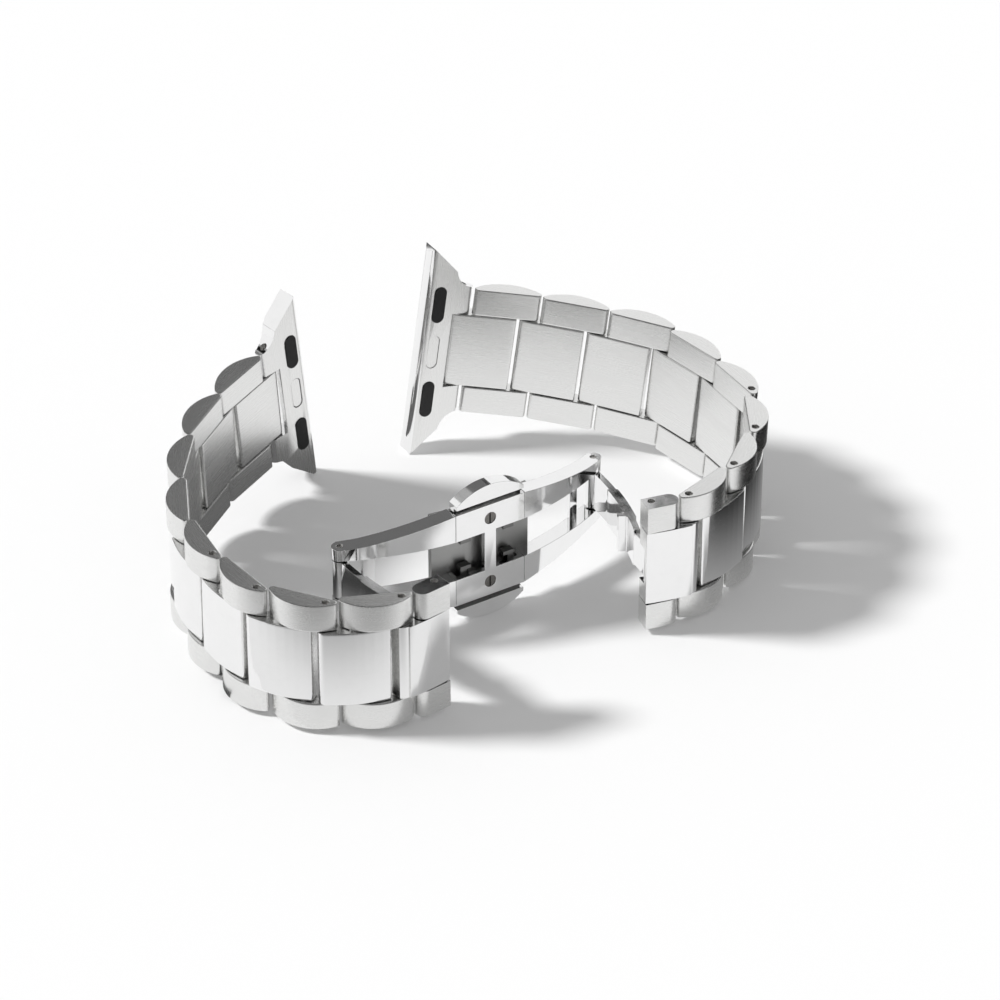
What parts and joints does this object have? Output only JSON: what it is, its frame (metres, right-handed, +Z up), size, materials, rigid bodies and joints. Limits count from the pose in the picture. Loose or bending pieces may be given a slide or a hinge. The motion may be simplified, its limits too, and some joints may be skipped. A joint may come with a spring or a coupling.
{
  "type": "link watch bracelet",
  "caption": "Steel link watch bracelet with a butterfly clasp, push buttons, hinged leaves and slide-in lug connectors, shown with the clasp open.",
  "frame": {"origin": "centre of the bounding box, on the surface it stands on", "axes": "+Z up, across the band; +X along the picture from left to right; +Y away from the camera"},
  "size_m": [0.0844, 0.0798, 0.0328],
  "materials": {
    "link_steel": "stainless steel, sides brushed along the band, middle pieces polished",
    "polished_steel": "stainless steel, mirror polished",
    "matte_steel": "stainless steel, bead blasted",
    "spring_steel": "hardened spring steel, drawn",
    "rubber": "black moulded rubber"
  },
  "bodies": {
    "clasp_base": {"cover_plate": "polished_steel", "floor_plate": "matte_steel", "left_arm": "polished_steel", "right_arm": "polished_steel", "cover_screws": "matte_steel", "button_springs": "spring_steel", "left_hinge_pin": "polished_steel", "right_hinge_pin": "polished_steel"},
    "upper_button": {"upper_button": "polished_steel"},
    "lower_button": {"lower_button": "polished_steel"},
    "left_leaf": {"left_leaf": "polished_steel"},
    "left_end_link": {"left_end_link": "link_steel", "left_leaf_pin": "polished_steel"},
    "left_link_8": {"left_link_8": "link_steel", "left_pin_8": "polished_steel"},
    "left_link_7": {"left_link_7": "link_steel", "left_pin_7": "polished_steel"},
    "left_link_6": {"left_link_6": "link_steel", "left_pin_6": "polished_steel"},
    "left_link_5": {"left_link_5": "link_steel", "left_pin_5": "polished_steel"},
    "left_link_4": {"left_link_4": "link_steel", "left_pin_4": "polished_steel"},
    "left_link_3": {"left_link_3": "link_steel", "left_pin_3": "polished_steel"},
    "left_link_2": {"left_link_2": "link_steel", "left_pin_2": "polished_steel"},
    "left_link_1": {"left_link_1": "link_steel", "left_pin_1": "polished_steel"},
    "left_lug": {"left_lug": "link_steel", "left_lug_pin": "polished_steel", "left_lug_pads": "rubber", "left_lug_spring": "spring_steel"},
    "left_lug_lock": {"left_lug_lock": "polished_steel"},
    "right_leaf": {"right_leaf": "polished_steel"},
    "right_end_link": {"right_end_link": "link_steel", "right_leaf_pin": "polished_steel"},
    "right_link_8": {"right_link_8": "link_steel", "right_pin_8": "polished_steel"},
    "right_link_7": {"right_link_7": "link_steel", "right_pin_7": "polished_steel"},
    "right_link_6": {"right_link_6": "link_steel", "right_pin_6": "polished_steel"},
    "right_link_5": {"right_link_5": "link_steel", "right_pin_5": "polished_steel"},
    "right_link_4": {"right_link_4": "link_steel", "right_pin_4": "polished_steel"},
    "right_link_3": {"right_link_3": "link_steel", "right_pin_3": "polished_steel"},
    "right_link_2": {"right_link_2": "link_steel", "right_pin_2": "polished_steel"},
    "right_link_1": {"right_link_1": "link_steel", "right_pin_1": "polished_steel"},
    "right_lug": {"right_lug": "link_steel", "right_lug_pin": "polished_steel", "right_lug_pads": "rubber", "right_lug_spring": "spring_steel"},
    "right_lug_lock": {"right_lug_lock": "polished_steel"}
  },
  "joints": [
    {"name": "upper_button_push", "type": "slide", "parent": "clasp_base", "child": "upper_button", "axis": [0, 0, -1], "range_m": [0, 0.0007], "stiffness_N_per_m": 400, "springref_m": -0.001},
    {"name": "lower_button_push", "type": "slide", "parent": "clasp_base", "child": "lower_button", "axis": [0, 0, 1], "range_m": [0, 0.0007], "stiffness_N_per_m": 400, "springref_m": -0.001},
    {"name": "left_leaf_hinge", "type": "hinge", "parent": "clasp_base", "child": "left_leaf", "pos_m": [-0.0179, -0.01724, 0.0108], "axis": [0, 0, -1], "range_deg": [-61, 56]},
    {"name": "left_end_link_hinge", "type": "hinge", "parent": "left_leaf", "child": "left_end_link", "pos_m": [-0.00464, -0.03315, 0.0108], "axis": [0, 0, 1], "range_deg": [-48.5, 67.5]},
    {"name": "left_link_8_hinge", "type": "hinge", "parent": "left_end_link", "child": "left_link_8", "pos_m": [-0.00896, -0.03672, 0.0108], "axis": [0, 0, -1], "range_deg": [-35.8, 1.2]},
    {"name": "left_link_7_hinge", "type": "hinge", "parent": "left_link_8", "child": "left_link_7", "pos_m": [-0.01904, -0.03828, 0.0108], "axis": [0, 0, -1], "range_deg": [-36.4, 0.6]},
    {"name": "left_link_6_hinge", "type": "hinge", "parent": "left_link_7", "child": "left_link_6", "pos_m": [-0.02845, -0.03436, 0.0108], "axis": [-0.0116, 0.0222, -0.9997], "range_deg": [-34.1, 2.9]},
    {"name": "left_link_5_hinge", "type": "hinge", "parent": "left_link_6", "child": "left_link_5", "pos_m": [-0.03477, -0.02636, 0.01105], "axis": [-0.0108, 0.0472, -0.9988], "range_deg": [-16.8, 20.2]},
    {"name": "left_link_4_hinge", "type": "hinge", "parent": "left_link_5", "child": "left_link_4", "pos_m": [-0.03932, -0.01724, 0.01153], "axis": [-0.005, 0.0715, -0.9974], "range_deg": [-26, 11]},
    {"name": "left_link_3_hinge", "type": "hinge", "parent": "left_link_4", "child": "left_link_3", "pos_m": [-0.04028, -0.00711, 0.01226], "axis": [0.0092, 0.0921, -0.9957], "range_deg": [-16.8, 20.2]},
    {"name": "left_link_2_hinge", "type": "hinge", "parent": "left_link_3", "child": "left_link_2", "pos_m": [-0.03915, 0.00298, 0.01321], "axis": [0.0272, 0.1092, -0.9936], "range_deg": [-23.5, 13.5]},
    {"name": "left_link_1_hinge", "type": "hinge", "parent": "left_link_2", "child": "left_link_1", "pos_m": [-0.03487, 0.01217, 0.01433], "axis": [0.0499, 0.1197, -0.9916], "range_deg": [-15.5, 21.5]},
    {"name": "left_lug_hinge", "type": "hinge", "parent": "left_link_1", "child": "left_lug", "pos_m": [-0.02897, 0.02039, 0.01562], "axis": [0.074, 0.1259, -0.9893], "range_deg": [-17.4, 19.6]},
    {"name": "left_lug_lock_push", "type": "slide", "parent": "left_lug", "child": "left_lug_lock", "axis": [-0.6708, 0.7403, 0.044], "range_m": [0, 0.0006], "stiffness_N_per_m": 500, "springref_m": -0.0003},
    {"name": "right_leaf_hinge", "type": "hinge", "parent": "clasp_base", "child": "right_leaf", "pos_m": [0.01728, 0.0057, 0.0108], "axis": [0, 0, 1], "range_deg": [-56.2, 60.8]},
    {"name": "right_end_link_hinge", "type": "hinge", "parent": "right_leaf", "child": "right_end_link", "pos_m": [0.02491, -0.01356, 0.0108], "axis": [0, 0, -1], "range_deg": [-51.8, 66.2]},
    {"name": "right_link_8_hinge", "type": "hinge", "parent": "right_end_link", "child": "right_link_8", "pos_m": [0.03016, -0.0116, 0.0108], "axis": [0, 0, 1], "range_deg": [-34.5, 2.5]},
    {"name": "right_link_7_hinge", "type": "hinge", "parent": "right_link_8", "child": "right_link_7", "pos_m": [0.03671, -0.00379, 0.0108], "axis": [0, 0, 1], "range_deg": [-27.1, 9.9]},
    {"name": "right_link_6_hinge", "type": "hinge", "parent": "right_link_7", "child": "right_link_6", "pos_m": [0.03985, 0.00592, 0.0108], "axis": [0.0306, -0.0099, 0.9995], "range_deg": [-25.2, 11.8]},
    {"name": "right_link_5_hinge", "type": "hinge", "parent": "right_link_6", "child": "right_link_5", "pos_m": [0.03944, 0.01611, 0.01091], "axis": [0.0626, -0.0086, 0.998], "range_deg": [-34.1, 2.9]},
    {"name": "right_link_4_hinge", "type": "hinge", "parent": "right_link_5", "child": "right_link_4", "pos_m": [0.03414, 0.02482, 0.01132], "axis": [0.0899, 0.0082, 0.9959], "range_deg": [-16.8, 20.2]},
    {"name": "right_link_3_hinge", "type": "hinge", "parent": "right_link_4", "child": "right_link_3", "pos_m": [0.02717, 0.03225, 0.01189], "axis": [0.1132, 0.0302, 0.9931], "range_deg": [-34.5, 2.5]},
    {"name": "right_link_2_hinge", "type": "hinge", "parent": "right_link_3", "child": "right_link_2", "pos_m": [0.01749, 0.03528, 0.0129], "axis": [0.1225, 0.0608, 0.9906], "range_deg": [-13, 24]},
    {"name": "right_link_1_hinge", "type": "hinge", "parent": "right_link_2", "child": "right_link_1", "pos_m": [0.00749, 0.03693, 0.01404], "axis": [0.1274, 0.0924, 0.9875], "range_deg": [-16.2, 20.8]},
    {"name": "right_lug_hinge", "type": "hinge", "parent": "right_link_1", "child": "right_lug", "pos_m": [-0.00262, 0.0366, 0.01537], "axis": [0.1259, 0.1243, 0.9842], "range_deg": [-30.7, 6.3]},
    {"name": "right_lug_lock_push", "type": "slide", "parent": "right_lug", "child": "right_lug_lock", "axis": [-0.4729, 0.8797, -0.0506], "range_m": [0, 0.0006], "stiffness_N_per_m": 500, "springref_m": -0.0003}
  ]
}
